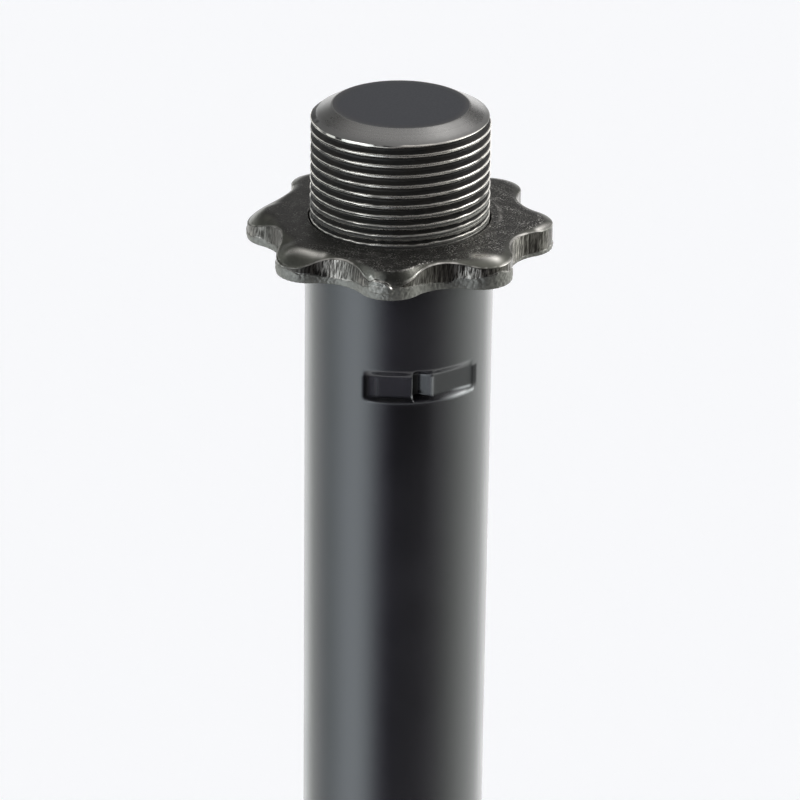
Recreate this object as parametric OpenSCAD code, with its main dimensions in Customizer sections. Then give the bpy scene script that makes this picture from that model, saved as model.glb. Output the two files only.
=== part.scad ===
/* [Base casting] */
// Diameter of the round cast base
base_d = 152; // [140:1:170]
// Height of the rim above the floor
base_rim_h = 10; // [8.5:0.5:12]
// Height of the crown above the floor, where it meets the boss
base_crown_h = 17.5; // [15:0.5:20]
// Radius of the rounded upper rim
base_rim_round = 4; // [2:0.5:5]
// Bevel along the lower edge of the rim
base_low_bevel = 1; // [0.5:0.25:2]
// Diameter of the boss round the foot of the tube
boss_d = 38; // [34:1:44]
// Radius of the sweep from the crown up to the boss
boss_sweep = 3; // [1:0.5:4]
// Radius of the boss's rounded top edge
boss_round = 2; // [1:0.5:3]
// Depth of the socket that the lower tube stands in
socket_depth = 6; // [5:0.5:8]
// Thickness of iron between the socket and the bolt pocket
web_t = 5.5; // [4:0.5:8]

/* [Foot ring] */
// Width of the rubber ring, seen from below
foot_w = 5; // [4:0.5:8]
// Height of the rubber ring
foot_h = 4.5; // [3.5:0.5:6]
// How far the ring stands below the casting
foot_proud = 1.5; // [1:0.25:2.5]
// Distance from the ring to the edge of the base
foot_inset = 5; // [3:0.5:9]
// Bevel on the ring's lower edges
foot_bevel = 0.8; // [0.4:0.1:1.2]

/* [Base bolt] */
// Diameter of the bolt's shank
bolt_d = 10; // [8:1:12]
// Length of the bolt under its head
bolt_len = 25; // [20:1:30]
// Hexagon head, across the flats
bolt_flats = 16; // [13:1:18]
// Height of the head
bolt_head_h = 6.4; // [5:0.1:7.5]
// Space between the head and the floor, past the foot ring's part
bolt_head_room = 0.5; // [0.25:0.25:2]
// Diameter of the flat washer
washer_d = 20; // [19:0.5:22]
// Thickness of the flat washer
washer_t = 2; // [1.5:0.1:2.5]
// Diameter of the split lock washer
lock_washer_d = 18.1; // [16:0.1:18.5]
// Thickness of the split lock washer
lock_washer_t = 2.2; // [1.5:0.1:2.8]
// Width of the split
lock_washer_split = 1.2; // [0.8:0.1:2]
// Angle of the split, from +X
lock_washer_turn = 30; // [0:5:360]
// Space round the washer for a box spanner
pocket_room = 3.5; // [2:0.25:4]

/* [Lower tube] */
// Outer diameter of the lower tube
lower_tube_d = 22.2; // [21.8:0.1:23]
// Wall of the lower tube
lower_tube_wall = 1.2; // [1:0.1:1.4]
// Length of the lower tube
lower_tube_len = 168; // [150:1:200]
// Length of the threaded plug in its foot
plug_len = 22; // [18:1:30]
// Bevel on the plug's ends
plug_bevel = 1; // [0.5:0.25:1.5]

/* [Upper tube] */
// Outer diameter of the upper tube
upper_tube_d = 16.7; // [16.4:0.1:17.2]
// Wall of the upper tube
upper_tube_wall = 1.2; // [1:0.1:1.3]
// Length of the upper tube
upper_tube_len = 155; // [150:1:175]
// Length of upper tube that stands out of the clutch at rest
upper_tube_show = 68; // [60:1:72]
// Round bevel at the tube's upper edge
upper_tube_bevel = 0.2; // [0.1:0.05:0.3]

/* [Crimp] */
// Number of crimps round the tube
crimp_count = 2; // [2:1:3]
// Angle of the first crimp, from +X
crimp_angle = -73.5; // [-90:0.5:-60]
// Height of a crimp along the tube
crimp_h = 2.6; // [2:0.1:4.5]
// Distance from the top of the tube to the middle of the crimp
crimp_drop = 10.5; // [8:0.1:12]
// How deep each pressed flat lies below the round
crimp_flat_depth = 0.45; // [0.2:0.05:0.6]
// Angle from the middle of the crimp to the middle of each flat
crimp_flat_turn = 21.4; // [18:0.2:24]
// Depth of the sharp groove between the flats
crimp_groove_depth = 1.1; // [0.6:0.1:1.3]
// Opening angle of that groove
crimp_groove_angle = 90; // [70:5:110]

/* [Thread stud] */
// Major diameter of the microphone thread
thread_d = 15.875; // [15.6:0.025:16]
// Height of the stud above the tube
thread_h = 12.95; // [12:0.05:16]
// Diameter of the flat top face
thread_face_d = 12.06; // [10:0.02:14]
// Height of the bevel under the top face
thread_bevel_h = 0.9; // [0.5:0.1:1.5]
// How much smaller in radius the stud is where the thread runs out under the nut
thread_runout = 0.3; // [0.2:0.05:0.45]
// How far the run-out reaches above the nut
thread_runout_past = 0.15; // [0.1:0.05:0.3]
// Length of the shank inside the tube
shank_len = 22; // [18:1:30]
// Depth of the groove that the crimps press into
shank_groove_depth = 1.4; // [1.3:0.1:2]
// Bevel at the shank's lower end
shank_bevel = 1; // [0.5:0.25:1.5]

/* [Lock nut] */
// Number of lobes round the nut
nut_lobes = 8; // [6:1:10]
// Radius to the tips of the lobes
nut_tip_r = 13.5; // [13:0.1:14.5]
// Radius to the bottoms of the scallops
nut_valley_r = 11.4; // [11:0.1:11.8]
// Radius of the round end of a lobe
nut_lobe_round = 2.8; // [2.6:0.1:3]
// Thickness of the nut
nut_t = 2.6; // [2:0.1:3.2]
// Angle of the first lobe, from +X
nut_turn = -94; // [-112:1:-68]
// How far the upper edge is rolled down at the tips
nut_roll = 1.2; // [0.3:0.05:1.5]
// Radius where the rolled edge starts
nut_roll_start_r = 10.7; // [10:0.1:11]
// Width of the bevel under the tips of the lobes
nut_foot_bevel = 0.3; // [0.1:0.05:0.5]
// Height of that bevel
nut_foot_bevel_h = 0.6; // [0.3:0.1:0.9]
// Width of the bevel at the mouth of the threaded hole
nut_mouth_bevel = 0.2; // [0.1:0.05:0.6]

/* [Clutch ferrule and collet] */
// Length of the ferrule's skirt on the lower tube
ferrule_skirt = 24; // [18:1:30]
// Wall of the ferrule on the lower tube
ferrule_wall = 1.95; // [1.8:0.05:2.4]
// Thickness of the inner ring that the tube stops against
ferrule_stop_t = 2.4; // [1.8:0.2:4]
// Height of the conical seat
seat_h = 10; // [8:0.5:12]
// Slope of the conical seat from upright
seat_slope = 8; // [5:0.5:9]
// Wall of the collet at its thin end
collet_wall = 1.3; // [1:0.1:1.5]
// Space under the collet's thin end
collet_end_room = 0.7; // [0.4:0.1:1]
// Space left under the collet's flange when it is tight
squeeze_gap = 0.8; // [0.7:0.1:1.5]
// Thickness of the collet's flange
collet_flange_t = 2.5; // [2:0.25:4]
// Number of slots round the collet, one of them right through
collet_slots = 4; // [3:1:6]
// Width of each slot
collet_slot_w = 1.4; // [1:0.1:2]
// Thickness of the thrust washer on the collet
thrust_washer_t = 1; // [0.6:0.1:1.5]

/* [Clutch barrel and grip] */
// Wall of the barrel under the grip
barrel_wall = 2; // [1.6:0.1:2.6]
// Thickness of the barrel's roof
barrel_roof_t = 4; // [3:0.25:5]
// How much of the ferrule shows below the barrel
ferrule_show = 5; // [3:0.5:8]
// Height of the rims above and below the grip
barrel_rim_h = 2.2; // [1.5:0.1:3]
// Height of the rounded crown above the grip's upper rim
barrel_crown_h = 5; // [3.5:0.25:6]
// Width of the flat lip round the upper tube, on top of the barrel
barrel_lip_w = 2; // [1:0.25:3]
// Thickness of the rubber grip
grip_t = 2.4; // [2:0.1:3.5]
// How far the grip stands out past the rims
grip_proud = 0.3; // [0.2:0.1:0.6]
// Number of flutes round the grip
grip_flutes = 24; // [16:2:30]
// Radius of each flute
grip_flute_r = 1.3; // [0.9:0.1:1.5]
// Depth of each flute
grip_flute_depth = 0.7; // [0.4:0.1:0.9]

/* [Guide bush] */
// Length of the bush at the foot of the upper tube
bush_len = 20; // [14:1:26]
// Distance from the foot of the tube to the bush
bush_lift = 2; // [1:0.5:5]
// Width of the rib inside the bush
bush_rib_w = 2.2; // [1.6:0.1:3]
// How far the rib reaches into the tube's groove
bush_rib_depth = 0.45; // [0.3:0.05:0.5]
// Width of the slit that lets the bush spring over the tube
bush_slit = 2; // [1:0.25:3]
// Angle of that slit, from +X
bush_slit_turn = 200; // [0:5:360]

/* [Clearances] */
// Radial gap where one piece is pressed or screwed into another
press_gap = 0.04; // [0.02:0.01:0.06]
// Radial gap where one piece turns or slides in another
slide_gap = 0.06; // [0.04:0.01:0.09]
// Radial gap between the upper tube and the rings that it only passes
pass_gap = 0.5; // [0.4:0.05:0.6]

/* [Hidden] */

$fn = 96;
// Overshoot of a cutting body past the face that it cuts
over = 1;
// Steps in a drawn quarter curve
curve_steps = 10;

base_r = base_d / 2;
boss_r = boss_d / 2;
bolt_r = bolt_d / 2;
lower_r = lower_tube_d / 2;
lower_bore_r = lower_r - lower_tube_wall;
upper_r = upper_tube_d / 2;
upper_bore_r = upper_r - upper_tube_wall;
thread_r = thread_d / 2;
pass_r = upper_r + pass_gap;

// Heights, from the floor upwards
head_low_z = foot_proud + bolt_head_room;
head_top_z = head_low_z + bolt_head_h;
flat_washer_z = head_top_z + lock_washer_t;
web_low_z = flat_washer_z + washer_t;
web_top_z = web_low_z + web_t;
boss_top_z = web_top_z + socket_depth;
lower_top_z = web_top_z + lower_tube_len;
ferrule_low_z = lower_top_z - ferrule_skirt;
seat_low_z = lower_top_z + ferrule_stop_t;
ferrule_top_z = seat_low_z + seat_h;
collet_low_z = seat_low_z + collet_end_room;
flange_low_z = ferrule_top_z + squeeze_gap;
flange_top_z = flange_low_z + collet_flange_t;
roof_low_z = flange_top_z + thrust_washer_t;
roof_top_z = roof_low_z + barrel_roof_t;
barrel_low_z = ferrule_low_z + ferrule_show;
grip_low_z = barrel_low_z + barrel_rim_h;
crown_low_z = roof_top_z - barrel_crown_h;
grip_top_z = crown_low_z - barrel_rim_h;
upper_top_z = roof_top_z + upper_tube_show;
upper_low_z = upper_top_z - upper_tube_len;
bush_low_z = upper_low_z + bush_lift;
bush_mid_z = bush_low_z + bush_len / 2;
crimp_low_z = upper_top_z - crimp_drop - crimp_h / 2;

// Radii of the clutch, from the tube outwards
ferrule_r = lower_r + press_gap + ferrule_wall;
collet_bore_r = upper_r + slide_gap;
collet_low_r = collet_bore_r + collet_wall;
seat_low_r = collet_low_r + slide_gap - collet_end_room * tan(seat_slope);
barrel_bore_r = ferrule_r + slide_gap;
flange_r = barrel_bore_r - pass_gap;
barrel_r = barrel_bore_r + barrel_wall;
grip_r = barrel_r + grip_t;
rim_r = grip_r - grip_proud;

// Points of an arc about a centre, from one angle to another
function arc(centre, r, from, to) =
    [for (i = [0 : curve_steps])
        let (a = from + (to - from) * i / curve_steps)
        centre + r * [cos(a), sin(a)]];

// Points of a quarter ellipse that rises from the outer point to the inner one
function shoulder(outer, inner) =
    [for (i = [0 : curve_steps])
        let (a = 90 * i / curve_steps)
        [inner.x + (outer.x - inner.x) * cos(a), outer.y + (inner.y - outer.y) * sin(a)]];

// A ring of rectangular section that stands on a height
module ring(z, h, outer, bore) {
    translate([0, 0, z])
        difference() {
            cylinder(h = h, r = outer);
            translate([0, 0, -over]) cylinder(h = h + 2 * over, r = bore);
        }
}

// A radial slot on the +X side, cut through everything from a height upwards
module slot(z, h, w, reach, turn) {
    rotate(turn) translate([0, -w / 2, z]) cube([reach, w, h]);
}

// The iron base: rim, shallow crown that rises in a sine, sweep and boss
module base_casting() {
    crown_outer_r = base_r - base_rim_round;
    crown_inner_r = boss_r + boss_sweep;
    rise = base_crown_h - base_rim_h;
    crown_slope = atan(rise * PI / 2 / (crown_outer_r - crown_inner_r));
    rim_centre = [crown_outer_r, base_rim_h - base_rim_round * cos(crown_slope)];
    rim_end = rim_centre + base_rim_round * [sin(crown_slope), cos(crown_slope)];
    color([0.16, 0.16, 0.17])
        difference() {
            rotate_extrude()
                polygon(concat(
                    [[0, foot_proud], [base_r - base_low_bevel, foot_proud],
                     [base_r, foot_proud + base_low_bevel]],
                    arc(rim_centre, base_rim_round, 0, 90 - crown_slope),
                    [for (i = [1 : curve_steps])
                        let (t = i / curve_steps)
                        [rim_end.x + (crown_inner_r - rim_end.x) * t,
                         rim_end.y + rise * sin(90 * t)]],
                    arc([crown_inner_r, rim_end.y + rise + boss_sweep], boss_sweep, 270, 180),
                    arc([boss_r - boss_round, boss_top_z - boss_round], boss_round, 0, 90),
                    [[0, boss_top_z]]));
            // Groove of the foot ring
            ring(foot_proud - over, foot_h - foot_proud + over,
                 base_r - foot_inset + press_gap, base_r - foot_inset - foot_w - press_gap);
            // Pocket of the bolt's head, bolt hole and tube socket
            translate([0, 0, foot_proud - over])
                cylinder(h = web_low_z - foot_proud + over, r = washer_d / 2 + pocket_room);
            cylinder(h = boss_top_z, r = bolt_r + pass_gap);
            translate([0, 0, web_top_z]) cylinder(h = socket_depth + over, r = lower_r + press_gap);
        }
}

// The rubber ring that the stand rests on
module base_foot_ring() {
    outer = base_r - foot_inset;
    inner = outer - foot_w;
    color([0.10, 0.10, 0.10])
        rotate_extrude()
            polygon([[inner + foot_bevel, 0], [outer - foot_bevel, 0], [outer, foot_bevel],
                     [outer, foot_h], [inner, foot_h], [inner, foot_bevel]]);
}

// The hexagon bolt, put in from below
module base_bolt() {
    corner_r = bolt_flats / 2 / cos(30);
    color([0.66, 0.67, 0.68]) {
        intersection() {
            translate([0, 0, head_low_z]) cylinder(h = bolt_head_h, r = corner_r, $fn = 6);
            // Turned bevel round the corners of the head, 30 degrees from its face
            translate([0, 0, head_low_z])
                cylinder(h = bolt_head_h, r1 = bolt_flats / 2,
                         r2 = bolt_flats / 2 + bolt_head_h / tan(30));
        }
        translate([0, 0, head_low_z + bolt_head_h / 2])
            cylinder(h = bolt_head_h / 2 + bolt_len, r = bolt_r);
    }
}

module base_lock_washer() {
    color([0.60, 0.61, 0.62])
        difference() {
            ring(head_top_z, lock_washer_t, lock_washer_d / 2, bolt_r + press_gap);
            slot(head_top_z - over, lock_washer_t + 2 * over, lock_washer_split, lock_washer_d,
                 lock_washer_turn);
        }
}

module base_flat_washer() {
    color([0.68, 0.69, 0.70])
        ring(flat_washer_z, washer_t, washer_d / 2, bolt_r + press_gap);
}

// The plug in the foot of the lower tube, which the bolt screws into
module tube_foot_plug() {
    plug_r = lower_bore_r - press_gap;
    color([0.55, 0.56, 0.57])
        rotate_extrude()
            polygon([[bolt_r + press_gap, web_top_z], [plug_r - plug_bevel, web_top_z],
                     [plug_r, web_top_z + plug_bevel], [plug_r, web_top_z + plug_len - plug_bevel],
                     [plug_r - plug_bevel, web_top_z + plug_len],
                     [bolt_r + press_gap, web_top_z + plug_len]]);
}

module lower_tube() {
    color([0.13, 0.13, 0.14]) ring(web_top_z, lower_tube_len, lower_r, lower_bore_r);
}

// The ferrule pressed on the lower tube: skirt, inner stop ring and conical seat
module clutch_ferrule() {
    color([0.20, 0.20, 0.21])
        difference() {
            translate([0, 0, ferrule_low_z])
                cylinder(h = ferrule_top_z - ferrule_low_z, r = ferrule_r);
            translate([0, 0, ferrule_low_z - over])
                cylinder(h = ferrule_skirt + over, r = lower_r + press_gap);
            cylinder(h = ferrule_top_z, r = pass_r);
            translate([0, 0, seat_low_z])
                cylinder(h = seat_h + over, r1 = seat_low_r,
                         r2 = seat_low_r + (seat_h + over) * tan(seat_slope));
        }
}

// The slotted collet: cone, flange, one slot right through and the others from below
module clutch_collet() {
    cone_h = flange_low_z - collet_low_z;
    color([0.86, 0.85, 0.80])
        difference() {
            rotate_extrude()
                polygon([[collet_bore_r, collet_low_z], [collet_low_r, collet_low_z],
                         [collet_low_r + cone_h * tan(seat_slope), flange_low_z],
                         [flange_r, flange_low_z], [flange_r, flange_top_z],
                         [collet_bore_r, flange_top_z]]);
            slot(collet_low_z - over, flange_top_z - collet_low_z + 2 * over,
                 collet_slot_w, 2 * flange_r, 0);
            for (i = [1 : collet_slots - 1])
                slot(collet_low_z - over, cone_h + over, collet_slot_w, 2 * flange_r,
                     360 * i / collet_slots);
        }
}

module clutch_thrust_washer() {
    color([0.70, 0.71, 0.72]) ring(flange_top_z, thrust_washer_t, flange_r, pass_r);
}

// The barrel that is turned by hand, drawn as one turned section
module clutch_barrel() {
    color([0.15, 0.15, 0.16])
        rotate_extrude()
            polygon(concat(
                [[barrel_bore_r, barrel_low_z], [rim_r - barrel_rim_h / 3, barrel_low_z],
                 [rim_r, barrel_low_z + barrel_rim_h / 3], [rim_r, grip_low_z],
                 [barrel_r, grip_low_z], [barrel_r, grip_top_z], [rim_r, grip_top_z]],
                shoulder([rim_r, crown_low_z], [pass_r + barrel_lip_w, roof_top_z]),
                [[pass_r, roof_top_z], [pass_r, roof_low_z], [barrel_bore_r, roof_low_z]]));
}

// The rubber sleeve between the barrel's rims, with flutes for the fingers
module clutch_grip() {
    grip_h = grip_top_z - grip_low_z;
    color([0.09, 0.09, 0.09])
        difference() {
            ring(grip_low_z, grip_h, grip_r, barrel_r + press_gap);
            for (i = [0 : grip_flutes - 1])
                rotate(360 * i / grip_flutes)
                    translate([grip_r + grip_flute_r - grip_flute_depth, 0, grip_low_z - over])
                        cylinder(h = grip_h + 2 * over, r = grip_flute_r, $fn = 24);
        }
}

// The split bush that guides the upper tube; its rib turns in the tube's groove
module guide_bush() {
    bush_bore_r = upper_r + slide_gap;
    color([0.85, 0.84, 0.79])
        difference() {
            union() {
                ring(bush_low_z, bush_len, lower_bore_r - slide_gap, bush_bore_r);
                ring(bush_mid_z - bush_rib_w / 2, bush_rib_w,
                     lower_bore_r - slide_gap, upper_r - bush_rib_depth);
            }
            slot(bush_low_z - over, bush_len + 2 * over, bush_slit, 2 * lower_r, bush_slit_turn);
        }
}

// Section of the upper tube at a crimp, drawn inset by part or all of the wall
module crimp_section(inset) {
    difference() {
        circle(r = upper_r - inset);
        for (i = [0 : crimp_count - 1])
            rotate(crimp_angle + 360 * i / crimp_count) {
                for (side = [-1, 1])
                    rotate(side * crimp_flat_turn)
                        translate([upper_r - crimp_flat_depth - inset, -upper_r])
                            square([upper_tube_wall, upper_tube_d]);
                // The die's sharp ridge
                translate([upper_r - crimp_groove_depth - inset, 0])
                    polygon([[0, 0],
                             [upper_r * cos(crimp_groove_angle / 2),
                              upper_r * sin(crimp_groove_angle / 2)],
                             [upper_r * cos(crimp_groove_angle / 2),
                              -upper_r * sin(crimp_groove_angle / 2)]]);
            }
    }
}

// The upper tube: the wall is pressed in at the crimps, outside and inside alike
module upper_tube() {
    groove_h = bush_rib_w + 2 * slide_gap;
    color([0.13, 0.13, 0.14])
        difference() {
            union() {
                rotate_extrude()
                    polygon([[upper_bore_r, upper_low_z], [upper_r, upper_low_z],
                             [upper_r, upper_top_z - upper_tube_bevel],
                             [upper_r - upper_tube_bevel, upper_top_z],
                             [upper_bore_r, upper_top_z]]);
                // Wall that the crimps push into the bore
                translate([0, 0, crimp_low_z])
                    linear_extrude(crimp_h)
                        difference() {
                            circle(r = upper_r - upper_tube_wall / 2);
                            crimp_section(upper_tube_wall);
                        }
            }
            // Outside of the crimps
            translate([0, 0, crimp_low_z])
                linear_extrude(crimp_h)
                    difference() {
                        circle(r = upper_r + over);
                        crimp_section(0);
                    }
            // Groove of the guide bush's rib
            ring(bush_mid_z - groove_h / 2, groove_h, upper_r + over,
                 upper_r - bush_rib_depth - slide_gap);
        }
}

// The stud: shank with the crimps' groove, thread run-out, and thread at its major diameter
module thread_stud() {
    shank_r = upper_bore_r - press_gap;
    groove_r = shank_r - shank_groove_depth;
    groove_low_z = crimp_low_z - 2 * press_gap;
    groove_top_z = crimp_low_z + crimp_h + 2 * press_gap;
    shank_low_z = upper_top_z - shank_len;
    runout_r = thread_r - thread_runout;
    runout_top_z = upper_top_z + nut_t + thread_runout_past;
    stud_top_z = upper_top_z + thread_h;
    color([0.28, 0.28, 0.28])
        rotate_extrude()
            polygon([[0, shank_low_z], [shank_r - shank_bevel, shank_low_z],
                     [shank_r, shank_low_z + shank_bevel], [shank_r, groove_low_z],
                     [groove_r, groove_low_z], [groove_r, groove_top_z],
                     [shank_r, groove_top_z], [shank_r, upper_top_z],
                     [runout_r, upper_top_z], [runout_r, runout_top_z],
                     [thread_r, runout_top_z], [thread_r, stud_top_z - thread_bevel_h],
                     [thread_face_d / 2, stud_top_z], [0, stud_top_z]]);
}

// Outline of the nut: round lobes that run into round scallops without a corner
module star(lobes, tip_r, valley_r, lobe_round) {
    half_turn = 180 / lobes;
    lobe_centre_r = tip_r - lobe_round;
    // The scallop's radius for which its circle touches the two lobes beside it
    scallop_round = (pow(lobe_centre_r, 2) + pow(valley_r, 2) - pow(lobe_round, 2)
                     - 2 * lobe_centre_r * valley_r * cos(half_turn))
                    / (2 * (lobe_centre_r * cos(half_turn) + lobe_round - valley_r));
    scallop_centre_r = valley_r + scallop_round;
    lobe_centre = [lobe_centre_r, 0];
    scallop_centre = scallop_centre_r * [cos(half_turn), sin(half_turn)];
    touch = lobe_centre + (scallop_centre - lobe_centre) * lobe_round / (lobe_round + scallop_round);
    difference() {
        circle(r = norm(touch));
        for (i = [0 : lobes - 1])
            rotate(360 * i / lobes + half_turn)
                translate([scallop_centre_r, 0]) circle(r = scallop_round);
    }
    for (i = [0 : lobes - 1])
        rotate(360 * i / lobes) translate([lobe_centre_r, 0]) circle(r = lobe_round);
}

// The star-shaped lock nut: upper edge rolled down towards the tips, lower edge bevelled there
module lock_nut() {
    bore_r = thread_r + slide_gap;
    roll_w = nut_tip_r - nut_roll_start_r;
    foot_slope = nut_foot_bevel_h / nut_foot_bevel;
    past = 0.1;
    color([0.24, 0.23, 0.21])
        translate([0, 0, upper_top_z])
            difference() {
                intersection() {
                    linear_extrude(nut_t)
                        rotate(nut_turn) star(nut_lobes, nut_tip_r, nut_valley_r, nut_lobe_round);
                    rotate_extrude()
                        polygon(concat(
                            [[0, -over],
                             [nut_tip_r - nut_foot_bevel - over / foot_slope, -over],
                             [nut_tip_r + past, nut_foot_bevel_h + past * foot_slope],
                             [nut_tip_r + past, nut_t - nut_roll]],
                            [for (i = [0 : curve_steps])
                                let (t = 1 - i / curve_steps)
                                [nut_roll_start_r + roll_w * t, nut_t - nut_roll * t * t]],
                            [[0, nut_t]]));
                }
                translate([0, 0, -over]) cylinder(h = nut_t + 2 * over, r = bore_r);
                translate([0, 0, nut_t - nut_mouth_bevel])
                    cylinder(h = nut_mouth_bevel + over, r1 = bore_r,
                             r2 = bore_r + nut_mouth_bevel + over);
            }
}

base_casting();
base_foot_ring();
base_bolt();
base_lock_washer();
base_flat_washer();
tube_foot_plug();
lower_tube();
clutch_ferrule();
clutch_collet();
clutch_thrust_washer();
clutch_barrel();
clutch_grip();
guide_bush();
upper_tube();
thread_stud();
lock_nut();
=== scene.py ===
import math

import bpy
import numpy as np
from mathutils import Matrix, Vector


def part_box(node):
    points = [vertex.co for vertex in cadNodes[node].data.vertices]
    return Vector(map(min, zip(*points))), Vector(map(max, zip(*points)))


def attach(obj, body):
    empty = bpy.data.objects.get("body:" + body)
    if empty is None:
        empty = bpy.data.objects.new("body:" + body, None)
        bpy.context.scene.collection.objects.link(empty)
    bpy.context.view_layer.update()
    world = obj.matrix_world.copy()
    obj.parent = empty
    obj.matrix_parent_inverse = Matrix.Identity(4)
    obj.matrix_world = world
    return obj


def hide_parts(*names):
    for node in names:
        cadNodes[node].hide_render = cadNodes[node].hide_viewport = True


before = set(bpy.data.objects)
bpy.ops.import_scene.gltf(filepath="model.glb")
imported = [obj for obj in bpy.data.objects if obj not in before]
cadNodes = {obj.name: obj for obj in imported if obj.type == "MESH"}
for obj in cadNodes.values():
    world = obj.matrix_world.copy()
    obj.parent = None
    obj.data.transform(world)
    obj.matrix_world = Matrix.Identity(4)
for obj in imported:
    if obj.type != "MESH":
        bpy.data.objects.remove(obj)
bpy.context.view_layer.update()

scene = bpy.context.scene
mm = 0.001
threadPitch = 0.9407  # mm, one turn of a 5/8-27 thread


def boxInMm(name):
    low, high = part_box(name)
    return np.array(low) / mm, np.array(high) / mm


seatZ = boxInMm("lock_nut")[0][2]  # end of the upper tube, where the nut sits

# Camera, fitted to the thread's crests, the tube's edges and the nut

photoView = dict(
    lens=193.68,  # mm, on a 36 mm sensor
    distance=386.5,
    elevation=24.32,
    roll=0.72,
    aimSide=0.229,
    aimDrop=15.338,  # below the underside of the nut
)


def placeCamera(view):
    tilt, roll = math.radians(view["elevation"]), math.radians(view["roll"])
    forward = Vector((0, math.cos(tilt), -math.sin(tilt)))
    level, above = Vector((1, 0, 0)), Vector((0, math.sin(tilt), math.cos(tilt)))
    right = math.cos(roll) * level + math.sin(roll) * above
    up = math.cos(roll) * above - math.sin(roll) * level
    aim = Vector((view["aimSide"], 0, seatZ - view["aimDrop"]))
    place = (aim - forward * view["distance"]) * mm
    lens = bpy.data.cameras.new("photoCamera")
    lens.lens, lens.sensor_width = view["lens"], 36
    lens.clip_start, lens.clip_end = 0.01, 30
    camera = bpy.data.objects.new("photoCamera", lens)
    camera.matrix_world = Matrix.Translation(place) @ Matrix((right, up, -forward)).transposed().to_4x4()
    scene.collection.objects.link(camera)
    scene.camera = camera


placeCamera(photoView)
print("camera placed")

# Small tools for node trees


def feed(tree, socket, value):
    # a link from another socket, or a constant; a colour of three numbers gets its fourth
    if isinstance(value, bpy.types.NodeSocket):
        tree.links.new(value, socket)
    else:
        socket.default_value = (*value, 1) if socket.type == "RGBA" and len(value) == 3 else value


def addNode(tree, kind, inputs=None, **settings):
    made = tree.nodes.new("ShaderNode" + kind)
    for key, value in settings.items():
        setattr(made, key, value)
    for key, value in (inputs or {}).items():
        feed(tree, made.inputs[key], value)
    return made


def mathNode(tree, operation, a, b=0.0, c=0.0, clamp=False):
    return addNode(tree, "Math", {0: a, 1: b, 2: c}, operation=operation, use_clamp=clamp).outputs[0]


def mathTool(operation):
    def made(tree, a, b, c=0.0, clamp=False):
        return mathNode(tree, operation, a, b, c, clamp)
    return made


times, plus, minus, larger, timesPlus = (
    mathTool(operation) for operation in ("MULTIPLY", "ADD", "SUBTRACT", "MAXIMUM", "MULTIPLY_ADD"))


def remap(tree, value, fromLow, fromHigh, toLow=0.0, toHigh=1.0):
    return addNode(tree, "MapRange", {
        "Value": value, "From Min": fromLow, "From Max": fromHigh, "To Min": toLow, "To Max": toHigh,
    }, interpolation_type="SMOOTHSTEP").outputs["Result"]


def noise(tree, spot, scale, detail, roughness=0.5):
    return addNode(tree, "TexNoise", {
        "Vector": spot, "Scale": scale, "Detail": detail, "Roughness": roughness}).outputs["Fac"]


def partsOf(tree, vector):
    return addNode(tree, "SeparateXYZ", {0: vector}).outputs


def joined(tree, x, y):
    return addNode(tree, "CombineXYZ", {"X": x, "Y": y, "Z": 0.0}).outputs[0]


def blendColor(tree, share, a, b):
    return addNode(tree, "Mix", {0: share, 6: a, 7: b}, data_type="RGBA").outputs[2]


def blendValue(tree, share, a, b):
    return addNode(tree, "Mix", {0: share, 2: a, 3: b}).outputs[0]


def layered(tree, color, rough, layers):
    # each layer is a mask, and the colour and roughness that it brings
    for share, tone, value in layers:
        color, rough = blendColor(tree, share, color, tone), blendValue(tree, share, rough, value)
    return color, rough


def shade(tone, share):
    return tuple(c * share for c in tone)


# Studio: a pale floor and backdrop, tall soft boxes left and right of the stand and one overhead

studio = dict(
    pale=(0.939, 0.947, 0.965),
    # brightness round the stand: degrees from the camera's side, clockwise seen from above, and a colour
    ring=[(-180, 0.25, 0.25, 0.25), (-158, 0.6, 0.62, 0.62), (-130, 1.12, 1.17, 1.13), (-112, 1.0, 1.04, 1.04),
          (-92, 0.78, 0.87, 0.88), (-74, 1.22, 1.35, 1.4), (-56, 1.66, 1.82, 1.92), (-42, 1.52, 1.67, 1.76),
          (-31, 0.92, 1.02, 1.08), (-20, 0.32, 0.34, 0.38), (-8, 0.03, 0.025, 0.045), (6, 0.015, 0.015, 0.015),
          (24, 0.04, 0.04, 0.04), (40, 0.13, 0.13, 0.13), (56, 0.33, 0.34, 0.33), (72, 0.64, 0.68, 0.64),
          (88, 1.02, 1.08, 1.02), (106, 1.36, 1.42, 1.37), (124, 1.5, 1.54, 1.5), (146, 1.05, 1.07, 1.05),
          (164, 0.6, 0.6, 0.6), (180, 0.25, 0.25, 0.25)],
    ringTop=(0.25, 0.65),  # height of a direction at which the tall boxes fade
    ringFloor=(0.58, 0.85, 0.25),  # depth of a direction at which they fade, and what is left
    ringBehind=(0.05, 0.3),  # the same towards the back
    backSide=(0.55, 0.88),  # how far back a direction points where the backdrop takes over
    backLevel=0.95,
    backTop=(0.0, 0.32),
    overhead=0.58,
    overheadFrom=(0.12, 0.35, 0.93),
    overheadEdge=(0.6, 0.98),  # cosines of its outer and inner edge
    ambient=0.02,
    lowFront=0.45,
    lowFrom=(0.5, 0.8),
    # soft boxes: direction, cosines of the outer and inner edge, brightness
    boxes=[((0.37, 0.47, 0.80), 0.945, 0.995, 1.1), ((0.86, 0.17, 0.48), 0.93, 0.99, 5.0),
           ((-0.77, -0.42, 0.40), 0.93, 0.985, 2.2)],
    sunStrength=0.6,
    sunSpread=50,
    sunFrom=(0.2, 0.12, 0.95),
    floorSize=16.0,
    floorTone=(0.8, 0.8, 0.8),
    floorMottle=0.997,  # tone of its darker clouds
    floorLift=(0.2511, 0.2491, 0.2696),  # what the camera sees on top of the lit floor
)


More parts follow.
